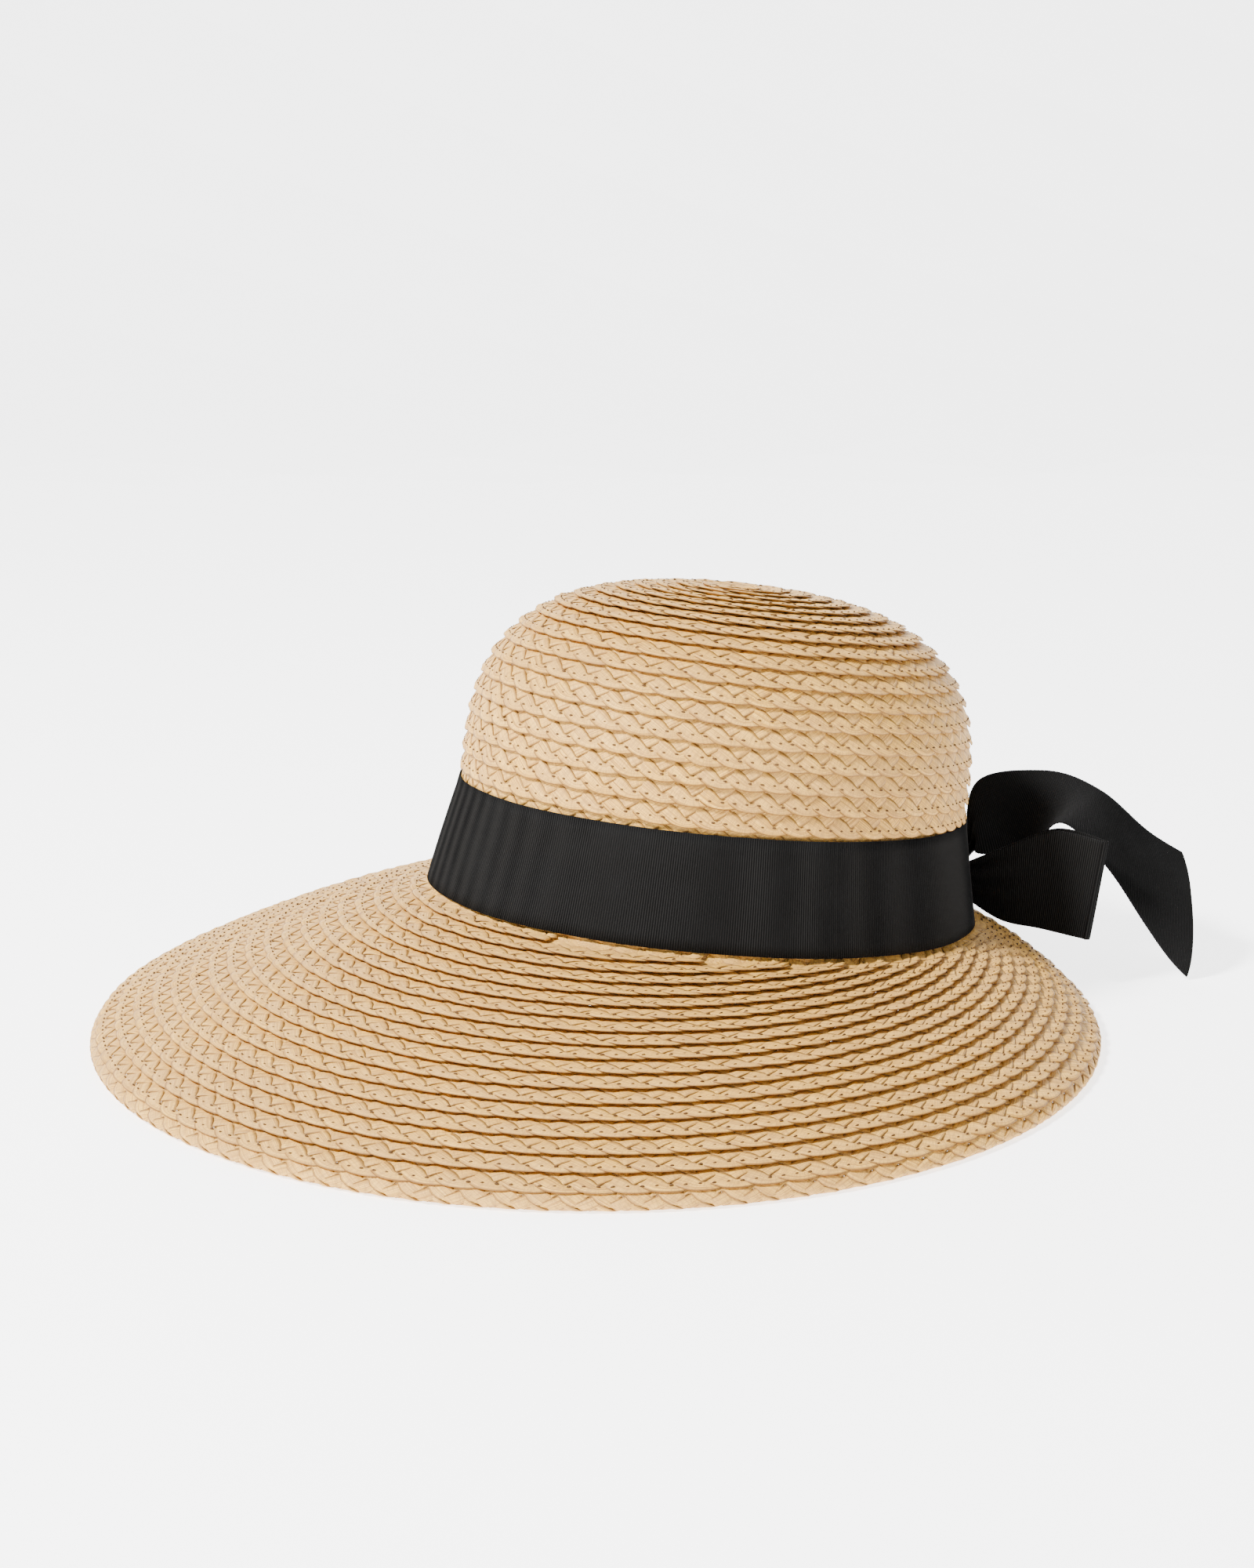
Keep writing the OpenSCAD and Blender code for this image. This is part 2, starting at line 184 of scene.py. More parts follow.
# The rim, turned under: a round edge of radius ROLL that stands on the table
ROLL, ROLL_FROM, ROLL_BLEND = RIM_Z / 2, 1.3, 12.0
ANGLES = np.linspace(0, 2 * math.pi, 721)


def rim_frames():
    ones = np.ones_like(ANGLES)
    width = sum(
        np.linalg.norm(brim_at(ones * (k + 1) / 12, ANGLES) - brim_at(ones * k / 12, ANGLES), axis=-1)
        for k in range(12)
    )
    start = brim_at(1 - ROLL_FROM / width, ANGLES)
    out = unit(brim_at(ones, ANGLES) - brim_at(ones * 0.985, ANGLES))
    along = unit(np.gradient(start, axis=0))
    up = unit(np.cross(out, along))
    flat = unit(out * [1, 1, 0])
    centre = brim_at(ones, ANGLES) - flat * ROLL
    centre[:, 2] = ROLL + 0.05
    return width, centre, up, out, centre + up * ROLL - start


BRIM_W, ROLL_C, ROLL_UP, ROLL_OUT, ROLL_SHIFT = rim_frames()


def around(table, a):
    """A value from a table of angles."""
    a = np.mod(a, 2 * math.pi)
    if table.ndim == 1:
        return np.interp(a, ANGLES, table)
    return np.stack([np.interp(a, ANGLES, table[:, k]) for k in range(3)], -1)


def brim_surface(m, a):
    """The brim at distance -m in from the rim. It rolls under past the rim, and rises up the
    crown's wall behind the band where it is further in than the brim is wide."""
    d, width = -m, around(BRIM_W, a)
    ease = (np.clip(1 - (d - ROLL_FROM) / ROLL_BLEND, 0, 1) ** 2)[..., None]
    top = brim_at(np.clip(1 - d / width, 0, 1), a) + around(ROLL_SHIFT, a) * ease
    turn = np.maximum(ROLL_FROM - d, 0) / ROLL
    bend = np.minimum(turn, math.pi)[..., None]
    up, out = around(ROLL_UP, a), around(ROLL_OUT, a)
    rolled = around(ROLL_C, a) + ROLL * (up * np.cos(bend) + out * np.sin(bend))
    rolled -= out * ROLL * np.maximum(turn - math.pi, 0)[..., None]
    wall = crown_wall(np.maximum(d - width, 0), a)
    return np.where((d > width)[..., None], wall, np.where((d < ROLL_FROM)[..., None], rolled, top))


def crown_press(m, a):
    """0 on the open crown, 1 where the band lies over it, and half at the top, which is blocked flat."""
    behind_band = np.clip((m - CROWN_FOOT + RIBBON_W + 2) / 4, 0, 1)
    return np.maximum(behind_band, 0.6 * np.clip((62 - m) / 30, 0, 1))


def brim_press(m, a):
    """0 on the open brim, and 1 where its inner rows run behind the band."""
    return np.clip((-m - around(BRIM_W, a) + 2) / 3, 0, 1)


def raised(surface, m, a, z):
    """A point at height z over a surface."""
    dm, da = 0.2, 0.002
    across = surface(m + dm, a) - surface(m - dm, a)
    along = surface(m, a + da) - surface(m, a - da)
    return surface(m, a) + unit(np.cross(across, along)) * z[..., None]


# ---- Meshes ----------------------------------------------------------------------------------
class Skin:
    """Collects runs of rings: points are (runs, sections, ring, 3), and a ring goes along a run's
    upper face and back along its lower face."""

    def __init__(self):
        self.points = []
        self.fibres = []
        self.faces = []
        self.uvs = []
        self.count = 0
        self.strip = 0

    def add(self, points, fibre, closed=False, strip_length=220):
        runs, sections, ring, _ = points.shape
        index = self.count + np.arange(runs * sections * ring).reshape(runs, sections, ring)
        self.points.append(points.reshape(-1, 3))
        self.fibres.append(np.broadcast_to(fibre, points.shape).reshape(-1, 3))
        self.count += index.size
        ahead = np.roll(index, -1, 1) if closed else index[:, 1:]
        here = index if closed else index[:, :-1]
        spans = here.shape[1]
        quads = np.stack([here, np.roll(here, -1, 2), np.roll(ahead, -1, 2), ahead], -1)
        self.faces.append(quads.reshape(-1, 4))
        i = np.arange(spans)[None, :, None]
        j = np.arange(ring)[None, None, :]
        row = self.strip + np.arange(runs)[:, None, None] * (spans // strip_length + 1) + i // strip_length
        low_u, high_u = (i % strip_length) / strip_length, (i % strip_length + 1) / strip_length
        low_v, high_v = row + 0.05 + 0.9 * j / ring, row + 0.05 + 0.9 * (j + 1) / ring
        corners = [(low_u, low_v), (low_u, high_v), (high_u, high_v), (high_u, low_v)]
        shape = (runs, spans, ring)
        self.uvs.append(np.stack([
            np.stack([np.broadcast_to(u, shape), np.broadcast_to(v, shape)], -1) for u, v in corners
        ], -2).reshape(-1, 4, 2))
        self.strip += runs * (spans // strip_length + 1)
        if not closed:
            half = ring // 2
            for section, order in ((0, [0, 3, 2, 1]), (-1, [0, 1, 2, 3])):
                end = index[:, section]
                caps = np.stack([
                    end[:, :half - 1], end[:, 1:half],
                    end[:, ::-1][:, 1:half], end[:, ::-1][:, :half - 1],
                ], -1)[..., order].reshape(-1, 4)
                self.faces.append(caps)
                self.uvs.append(np.zeros((len(caps), 4, 2)) + [0.5, self.strip])

    def mesh(self, name, material):
        faces = np.concatenate(self.faces)
        fibre = np.concatenate(self.fibres)
        uv = np.concatenate(self.uvs) / [1, self.strip + 1]
        mesh = bpy.data.meshes.new(name)
        mesh.vertices.add(self.count)
        mesh.vertices.foreach_set("co", (np.concatenate(self.points) * MM).astype(np.float32).ravel())
        mesh.loops.add(faces.size)
        mesh.loops.foreach_set("vertex_index", faces.astype(np.int32).ravel())
        mesh.polygons.add(len(faces))
        mesh.polygons.foreach_set("loop_start", np.arange(0, faces.size, 4, dtype=np.int32))
        mesh.polygons.foreach_set("use_smooth", np.ones(len(faces), bool))
        mesh.update(calc_edges=True)
        mesh.attributes.new("fibre", "FLOAT_VECTOR", "POINT").data.foreach_set(
            "vector", fibre.astype(np.float32).ravel())
        mesh.uv_layers.new(name="OFBake").data.foreach_set("uv", uv.astype(np.float32).ravel())
        mesh.validate()
        piece = bpy.data.objects.new(name, mesh)
        bpy.context.scene.collection.objects.link(piece)
        mesh.materials.append(material)
        return piece


def finish_piece(piece, slot, *nodes, body="hat"):
    """Gives a piece its body and hides the CAD nodes that it stands for. slot is not used."""
    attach(piece, body)
    if nodes:
        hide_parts(*nodes)
    return piece


# ---- The plait -------------------------------------------------------------------------------
class Row:
    """A row of plait on a surface: its middle follows m = middle(angle) between two angles."""

    def __init__(self, surface, middle, start, end, lift=LIFT, tilt=TILT, width=None, press=None):
        self.surface, self.middle, self.lift, self.tilt = surface, middle, lift, tilt
        self.width = width
        self.press = press
        turns = np.linspace(start, end, max(60, int(abs(end - start) * 60)))
        path = surface(middle(turns), turns)
        steps = np.linalg.norm(np.diff(path, axis=0), axis=-1)
        self.angles, self.lengths = turns, np.concatenate([[0], np.cumsum(steps)])
        self.length = float(self.lengths[-1])

    def place(self, s, v, z):
        """The point at s along the row, v in from its middle and z over it."""
        a = np.interp(s, self.lengths, self.angles)
        over = s - np.clip(s, 0, self.length)
        rate = (self.angles[-1] - self.angles[0]) / self.length
        a = a + over * rate
        v = v * (self.width(a) if self.width else 1)
        m = self.middle(a) - v
        press = self.press(m, a) if self.press else 0
        height = z + self.lift - PRESS * press - self.tilt * (1 - 0.8 * press) * v
        return raised(self.surface, m, a, height)


def weave_height(phase, strands):
    """Over and under: 1 where a strand is on top at a crossing, -1 where it is underneath."""
    knots, values, sign = [0.0], [0.0], 1.0
    for i in range(1, 2 * strands):
        turn = i == strands
        knots.append(i / (2 * strands))
        values.append(0.0 if turn else sign)
        sign = sign if turn else -sign
    knots.append(1.0)
    values.append(0.0)
    return np.sin(np.interp(np.mod(phase, 1), knots, values) * math.pi / 2)


def wander(s, size, span):
    """A slow, smooth, random change along a strand."""
    waves = [(rng.uniform(0.6, 1.6), rng.uniform(0, 2 * math.pi)) for _ in range(3)]
    return size * sum(np.sin(2 * math.pi * s / span * rate + at) for rate, at in waves) / 2


def add_plait(skin, row, strands=STRANDS, s0=0.0, s1=None, closed=False, offset=0.0):
    """Adds the strands of a row from s0 to s1. offset is how far along the plait s = 0 is."""
    s1 = row.length if s1 is None else s1
    period = strands * STRAND_PITCH
    if closed:
        period = (s1 - s0) / round((s1 - s0) / period)
    travel = strands * STRAND_PITCH / 2 * math.tan(STRAND_ANGLE)
    sections = max(6, int((s1 - s0) / STEP))
    s = np.linspace(s0, s1, sections, endpoint=not closed)
    for k in range(strands):
        phase = (s + offset) / period + k / strands
        swing = np.arcsin(SHARP * np.cos(2 * math.pi * phase)) / math.asin(SHARP)
        slope = -SHARP * np.sin(2 * math.pi * phase) * 2 * math.pi / period / math.asin(SHARP) / np.sqrt(
            1 - (SHARP * np.cos(2 * math.pi * phase)) ** 2)
        heading = np.arctan(slope * travel / 2)
        turning = np.clip((np.abs(swing) - TURN_FROM) / (1 - TURN_FROM), 0, 1) ** 1.5
        thick = STRAND_T * (1 + TURN_THICK * turning)
        wide = STRAND_W * (1 - TURN_NARROW * turning)
        middle = swing * travel / 2
        height = WEAVE * weave_height(phase, strands) + TURN_RISE * turning
        if not closed:
            wide = wide * (1 + wander(s, 0.07, 37))
            middle = middle + wander(s, 0.16, 53)
            height = height + wander(s, 0.07, 29)
        across = np.array([-1, -0.55, 0.5, 1])
        bulge = np.array([0.3, 1, 0.95, 0.3])
        across = np.concatenate([across, across[::-1]])
        bulge = np.concatenate([bulge, -bulge[::-1]])
        crease = 1 + rng.normal(0, 0.22, (sections, 8)) * np.abs(bulge)
        u = across[None, :] * wide[:, None] / 2
        rs = s[:, None] - np.sin(heading)[:, None] * u
        rv = middle[:, None] + np.cos(heading)[:, None] * u
        rz = height[:, None] + bulge[None, :] * crease * thick[:, None] / 2
        along_seam = np.mod(rs + offset + STITCH / 2, STITCH) - STITCH / 2
        rz = rz - DENT * np.exp(-(along_seam / 0.9) ** 2 - ((rv - SEAM_UP) / 0.8) ** 2)
        points = row.place(rs, rv, rz)
        strand = rng.uniform(0, 100)
        fibre = np.stack([
            np.broadcast_to((s + offset)[:, None], rs.shape),
            np.broadcast_to(across[None, :] * STRAND_W / 2, rs.shape),
            np.full(rs.shape, strand),
        ], -1)
        skin.add(points[None], fibre[None], closed)


def add_stitches(skin, place, starts, length, thick, v, z):
    """Adds short stitches of thread that lie along a row at v and z."""
    if len(starts) == 0:
        return
    sections = np.linspace(-0.5, 0.5, 5)
    swell = np.array([0.35, 0.9, 1, 0.9, 0.35])
    ring = np.array([0, 60, 120, 180, 240, 300]) * math.pi / 180
    rs = starts[:, None, None] + sections[None, :, None] * length
    rs = rs + np.zeros((1, 1, 6))
    rv = v + swell[None, :, None] * np.cos(ring + math.pi)[None, None, :] * thick / 2
    rz = z + swell[None, :, None] * np.sin(ring)[None, None, :] * thick / 2
    rz = rz - 0.35 * (2 * np.abs(sections))[None, :, None] ** 2
    rv, rz = np.broadcast_to(rv, rs.shape), np.broadcast_to(rz, rs.shape)
    fibre = np.stack([rs, rv, np.full(rs.shape, 5.0)], -1)
    skin.add(place(rs, rv, rz), fibre, strip_length=40)


def crown_row():
    first = 3.5
    turns = (CROWN_FOOT - 5.2 - first) / ROW_PITCH
    end = 2 * math.pi * turns

    def middle(a):
        return first + ROW_PITCH * a / (2 * math.pi)

    def width(a):
        return np.clip((middle(a) + 1) / 14, 0.3, 1)

    return Row(crown_surface, middle, 0, end, width=width, press=crown_press), middle


BUTTON_R = 9.0
TIP_FROM = math.sin(math.radians(45))


def seam(skin_out, row, s0, s1, offset=0.0):
    """The seam of a row: short stitches outside and longer ones inside."""
    starts = np.arange(math.ceil((s0 + offset) / STITCH), (s1 + offset) / STITCH) * STITCH - offset
    add_stitches(skin_out, row.place, starts, 1.5, 0.6, SEAM_UP, 0.5)
    add_stitches(skin_out, row.place, starts + STITCH / 2, 3.6, 0.5, SEAM_UP + 0.2, -0.98)


def make_crown(straw, thread):
    row, middle = crown_row()
    table = np.linspace(0, row.length, 4000)
    down = middle(np.interp(table, row.lengths, row.angles))
    tip_m = float(np.interp(FOOT_H + (CROWN_H - FOOT_H) * TIP_FROM, DOWN_H[::-1], DOWN[::-1]))
    s_button = float(np.interp(BUTTON_R, down, table))
    s_tip = float(np.interp(tip_m, down, table))
    s_in, s_out = np.linspace(s_button, s_tip, 3), np.linspace(s_tip, row.length, 4)
    parts = [
        ("button", 0.0, s_button, "crown_button"),
        ("tip_inner", s_in[0], s_in[1], "crown_tip"),
        ("tip_outer", s_in[1], s_in[2], "crown_tip"),
        ("side_upper", s_out[0], s_out[1], "crown_side"),
        ("side_middle", s_out[1], s_out[2], "crown_side"),
        ("side_lower", s_out[2], s_out[3], "crown_side"),
    ]
    for name, s0, s1, node in parts:
        skin = Skin()
        add_plait(skin, row, s0=s0, s1=s1)
        finish_piece(skin.mesh(f"straw_{name}", straw), "straw", node)
        if node == "crown_button":
            continue
        skin = Skin()
        seam(skin, row, s0, s1)
        finish_piece(skin.mesh(f"thread_{name}", thread), "seam_thread", "crown_seam_thread")


def brim_rows():
    """The rows of the brim from the rim in. Those that are further in than the back of the brim
    is wide go round the front only, and run in behind the band."""
    rows = []
    d = 9.8
    widest = float(BRIM_W.max())
    while d < widest + 2:
        open_at = BRIM_W > d - 1.0
        if open_at.all():
            rows.append((d, math.pi / 2, math.pi * 5 / 2, True))
        else:
            half = ANGLES[(ANGLES > math.pi / 2) & (ANGLES < math.pi * 3 / 2) & open_at]
            start = half.min() if len(half) else math.pi * 1.4
            rows.append((d, start, 3 * math.pi - start, False))
        d += ROW_PITCH
    return rows


def make_brim(straw, thread):
    rows = brim_rows()
    groups = [rows[0:3], rows[3:6], rows[6:9], rows[9:13], rows[13:]]
    offset = 0.0
    for number, group in enumerate(groups, 1):
        skin, sewing = Skin(), Skin()
        for d, start, end, closed in group:
            row = Row(brim_surface, lambda a, d=d: np.full_like(a, -d), start, end, press=brim_press)
            add_plait(skin, row, closed=closed, offset=0.0 if closed else offset)
            seam(sewing, row, 0 if closed else 6, row.length - (0 if closed else 6))
            offset += 31.7
        finish_piece(skin.mesh(f"straw_brim_{number}", straw), "straw", "brim")
        finish_piece(sewing.mesh(f"thread_brim_{number}", thread), "seam_thread", "brim_seam_thread")
    skin = Skin()
    foot = Row(brim_surface, lambda a: 3 - around(BRIM_W, a), math.pi / 2, math.pi * 5 / 2,
               lift=-1.9, tilt=0.1)
    add_plait(skin, foot, closed=True)
    finish_piece(skin.mesh("straw_foot", straw), "straw", "brim")
    skin = Skin()
    edge = Row(brim_surface, lambda a: np.full_like(a, 0.6), math.pi / 2, math.pi * 5 / 2,
               lift=-0.75, tilt=0)
    add_plait(skin, edge, closed=True)
    finish_piece(skin.mesh("straw_edge", straw), "straw", "brim_edge")
    skin = Skin()
    end = Row(brim_surface, lambda a: -12.0 - 10 * (a - math.radians(96)),
              math.radians(95), math.radians(109), lift=-4.3, tilt=0)
    add_plait(skin, end)
    finish_piece(skin.mesh("straw_end", straw), "straw", "plait_end")


# ---- Ribbon ----------------------------------------------------------------------------------
RIB = 0.8          # from one rib of the ribbon to the next
RIB_H = 0.10       # height of a rib
RIB_STEPS = 4


def resample(grid, step):
    """A grid of points, evenly spaced along its first way."""
    middle = grid[:, grid.shape[1] // 2]
    length = np.concatenate([[0], np.cumsum(np.linalg.norm(np.diff(middle, axis=0), axis=-1))])
    count = max(8, int(length[-1] / step))
    at = np.linspace(0, length[-1], count)
    out = np.empty((count,) + grid.shape[1:])
    for j in range(grid.shape[1]):
        for k in range(3):
            out[:, j, k] = np.interp(at, length, grid[:, j, k])
    return out


def sheet_normals(grid, closed=False):
    if closed:
        along = np.roll(grid, -1, 0) - np.roll(grid, 1, 0)
    else:
        along = np.gradient(grid, axis=0)
    return unit(np.cross(along, np.gradient(grid, axis=1)))


def ribbon_piece(name, grid, material, closed=False, thick=RIBBON_T, ribs=True, selvage=True):
    """A woven ribbon over a grid of points, (length, width), with its ribs and its selvages."""
    sections, count = grid.shape[:2]
    steps = np.linalg.norm(np.diff(grid[:, count // 2], axis=0), axis=-1)
    s = np.concatenate([[0], np.cumsum(steps)])[:, None]
    normal = sheet_normals(grid, closed)
    across = np.linspace(-1, 1, count)[None, :]
    half = np.full((sections, count), thick / 2)
    if ribs:
        turns = s / RIB if not closed else np.arange(sections)[:, None] / RIB_STEPS
        half = half + RIB_H * (np.cos(2 * math.pi * turns) - 1)
    if selvage:
        edge = (np.abs(across) > 0.94) * 1.0
        half = half * (1 - 0.25 * edge) + 0.05 * edge * np.cos(2 * math.pi * s / RIB / 2)
    top, bottom = grid + normal * half[..., None], grid - normal * half[..., None]
    points = np.concatenate([top, bottom[:, ::-1]], 1)
    lay = np.broadcast_to(across * RIBBON_W / 2, (sections, count))
    long = np.broadcast_to(s, (sections, count))
    face = np.stack([long, lay, np.zeros_like(lay)], -1)
    back = np.stack([long, lay, np.ones_like(lay)], -1)[:, ::-1]
    skin = Skin()
    skin.add(points[None], np.concatenate([face, back], 1)[None], closed)
    return skin.mesh(name, material)


def smooth_between(stations, x):
    """A smooth value between stations, at x = 0, 1, 2 ..."""
    values = np.array(stations, float)
    last = len(values) - 1
    i = np.minimum(np.floor(x).astype(int), last - 1)
    t = (x - i)[:, None]
    a, b = values[np.maximum(i - 1, 0)], values[i]
    c, d = values[i + 1], values[np.minimum(i + 2, last)]
    return b + t / 2 * (c - a + t * (2 * a - 5 * b + 4 * c - d + t * (3 * b - a - 3 * c + d)))


def across_ribbon(stations, x, u):
    """Points of a ribbon: x along its stations, and u from -1 to 1 across it."""
    s = smooth_between(stations, x)
    return KNOT + s[:, :3] + unit(s[:, 3:6]) * (u * s[:, 6] * RIBBON_W / 2)[:, None]


def hanging_ribbon(stations, slant, folds):
    """A grid for a tail: it starts gathered in folds and ends in a slanting cut."""
    last = len(stations) - 1
    grid = []
    for u in np.linspace(-1, 1, 33):
        x = np.linspace(0, last, 240)
        x = x * (1 - slant * (1 - u) / 2 / last)
        grid.append(across_ribbon(stations, x, np.full_like(x, u)))
    grid = np.stack(grid, 1)
    return gathered(grid, stations, folds)


def gathered(grid, stations, folds, depth=2.2):
    """Pushes a grid into soft folds where its ribbon is narrower than it was cut."""
    x = np.linspace(0, len(stations) - 1, grid.shape[0])
    share = smooth_between(stations, x)[:, 6]
    u = np.linspace(-1, 1, grid.shape[1])
    wave = np.cos(math.pi * folds * u[None, :] + 0.7 * np.sin(x)[:, None])
    size = depth * np.clip(1 - share, 0, 1) ** 1.2
    return grid + sheet_normals(grid) * (wave * size[:, None])[..., None]


LONG_TAIL = [
    [3, 5, 3, 0.80, -0.20, -0.56, 0.26],
    [2, 10, 7, 0.80, -0.20, -0.56, 0.32],
    [1, 14, 15.5, 0.58, -0.39, -0.72, 0.88],
    [8, 34, 17, 0.51, -0.50, -0.70, 1],
    [28, 42, 22, 0.48, -0.87, -0.14, 1],
    [44, 54, 6, 0.43, -0.88, -0.18, 1],
    [60, 65, -10, 0.12, -0.87, -0.48, 1],
    [72, 77, 14.7 - KNOT[2], -0.37, -0.60, -0.72, 1],
]
SHORT_TAIL = [
    [-3, 6, -6, 0.10, 0.40, -0.92, 0.24],
    [-6, 13, -10, 0.10, 0.40, -0.92, 0.30],
    [-20, 18, -11, 0, 0.38, -0.93, 0.85],
    [-36, 24, -16, 0, 0.36, -0.93, 1],
    [-52, 29, -20, 0.10, 0.35, -0.93, 1],
]
NEAR_LOOP = [
    [5, 1, -5, 0, 0, -1, 0.26],
    [10.5, 2, -5, 0, 0, -1, 0.32],
    [26, 9, -4, 0, 0, -1, 0.74],
    [42, 17, 0, -0.05, -0.05, -1, 1],
    [60, 24, -1, -0.10, -0.10, -1, 1],
]
FAR_LOOP = [
    [-5, 1, 5, 0, 0, -1, 0.26],
    [-10.5, 2, 5, 0, 0, -1, 0.32],
    [-26, 7, 17, 0, 0, -1, 0.74],
    [-41, 10, 25, 0, 0, -1, 1],
    [-57, 13, 28, 0.10, 0, -1, 1],
]
CUT_SLANT = 1.5
LOOP_GAP = 7.0


def loop_grid(stations, folds):
    """A grid for a loop: out on one layer, round a soft fold at the end and back on the other."""
    last = len(stations) - 1
    x = np.linspace(0, last, 150)
    turn = np.linspace(-math.pi / 2, math.pi / 2, 24)[1:-1]
    gap = 0.9 + (LOOP_GAP / 2 - 0.9) * np.sin(math.pi * x / last) ** 0.9
    middle = np.stack([
        across_ribbon(stations, x, np.full_like(x, u)) for u in np.linspace(-1, 1, 33)
    ], 1)
    normal = sheet_normals(middle)
    share = smooth_between(stations, x)[:, 6]
    u = np.linspace(-1, 1, 33)
    size = 1.5 * np.clip(1 - share, 0, 1) ** 1.2
    near_wave = np.cos(math.pi * folds * u[None, :] + 0.6 * x[:, None]) * size[:, None]
    far_wave = np.cos(math.pi * folds * u[None, :] + 1.2 + 0.4 * x[:, None]) * size[:, None]
    out_layer = middle + normal * (near_wave - gap[:, None])[..., None]
    back_layer = middle + normal * (far_wave * 0.4 + gap[:, None])[..., None]
    end, end_normal = middle[-1], normal[-1]
    ahead = unit(middle[-1] - middle[-3])
    radius = gap[-1] + 0.5
    fold = np.stack([
        end + end_normal * radius * math.sin(t) + ahead * radius * math.cos(t) for t in turn
    ])
    return np.concatenate([out_layer, fold, back_layer[::-1]])


def crown_band_grid(low, high, inset, count, sections, wave=0.0, closed=True, a0=0.0, a1=2 * math.pi):
    """A grid on the crown's wall, round it by its width."""
    a = np.linspace(a0, a1, sections, endpoint=not closed)[:, None] + np.zeros((1, count))
    share = np.linspace(0, 1, count)[None, :]
    h = low + (high - low) * share + np.zeros_like(a)
    ripple = wave * (np.sin(a * 5 + 1) + 0.6 * np.sin(a * 11 + 2.5)) * (share - 0.5) ** 2 * 4
    return crown_wall(h, a, inset - ripple)


def make_band(ribbon):
    length = 590
    sections = int(length / RIB) * RIB_STEPS
    outside = RIBBON_T / 2 + 0.1
    grid = crown_band_grid(0.6, RIBBON_W + 0.6, -outside - 0.35, 10, sections, wave=0.35)
    band = ribbon_piece("ribbon_band", grid, ribbon, closed=True)
    finish_piece(band, "ribbon", "hat_band")
    half = 0.5 * RIBBON_W * 0.6 / (CROWN_W + CROWN_L) * 4
    grid = crown_band_grid(1.0, RIBBON_W + 0.2, -outside - RIBBON_T - 0.45, 12, 120, closed=False,
                           a0=math.pi / 2 - half, a1=math.pi / 2 + half)
    join = ribbon_piece("ribbon_join", grid, ribbon)
    finish_piece(join, "ribbon", "band_join")


KNOT_TILT = math.atan(TAPER / FOOT_H) - LEAN


def pillow(t, width, height):
    """A closed outline between an ellipse and a rectangle."""
    power = 0.7
    c, s = np.cos(t), np.sin(t)
    return width / 2 * np.sign(c) * np.abs(c) ** power, height / 2 * np.sign(s) * np.abs(s) ** power


def knot_grid(width, depth, height, sections, count, pleats, edge_in):
    """A grid for ribbon that goes round the bow's middle, gathered into pleats."""
    t = np.linspace(0, 2 * math.pi, sections, endpoint=False)[:, None]
    x = np.linspace(-1, 1, count)[None, :]
    tuck = 1 - edge_in * np.abs(x) ** 4
    y, z = pillow(t, depth, height)
    wave = 1 + 0.035 * np.cos(math.pi * pleats * x + 1.3 * np.sin(t + 0.6) + 0.5)
    y, z = y * tuck * wave, z * tuck * wave
    x = x * width / 2 * (1 + 0.05 * np.sin(2 * t)) + np.zeros_like(y)
    tilt_y = y * math.cos(KNOT_TILT) - z * math.sin(KNOT_TILT)
    tilt_z = y * math.sin(KNOT_TILT) + z * math.cos(KNOT_TILT)
    return KNOT + np.stack([x, tilt_y, tilt_z], -1)


def make_bow(ribbon):
    around_knot = int(58 / RIB) * RIB_STEPS
    grid = knot_grid(KNOT_W, KNOT_D - RIBBON_T, KNOT_H - RIBBON_T, around_knot, 33, 4.5, 0.12)
    knot = ribbon_piece("ribbon_knot", grid[:, ::-1], ribbon, closed=True, thick=RIBBON_T * 1.6)
    finish_piece(knot, "ribbon", "bow_knot")
    grid = knot_grid(KNOT_W + 3, KNOT_D - 4.4, KNOT_H - 5.5, 120, 25, 6.5, 0.5)
    core = ribbon_piece("ribbon_core", grid[:, ::-1], ribbon, closed=True, thick=1.2, ribs=False)
    finish_piece(core, "ribbon", "bow_core")
    pieces = [
        ("ribbon_loop_near", loop_grid(NEAR_LOOP, 3), "bow_loop_near", "loop_near",
         (8, 1, -5), (26, 9, -4), (0.038, 0.130), "folded"),
        ("ribbon_loop_far", loop_grid(FAR_LOOP, 3), "bow_loop_far", "loop_far",
         (-8, 1, 5), (-26, 7, 17), (0.038, 0.130), "folded"),
        ("ribbon_tail_long", hanging_ribbon(LONG_TAIL, CUT_SLANT, 3), "bow_tail_long", "tail_long",
         (1, 8, 5), (3, 16, 5), (0.038, 0.142), "hung"),
        ("ribbon_tail_short", hanging_ribbon(SHORT_TAIL, CUT_SLANT, 3), "bow_tail_short", "tail_short",
         (-4, 8, -8), (-18, 17, -11), (0.038, 0.056), "hung"),
    ]
    for name, grid, node, body, start, end, flat, held in pieces:
        piece = ribbon_piece(name, resample(grid, RIB / RIB_STEPS), ribbon)
        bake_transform(piece)
        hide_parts(node)


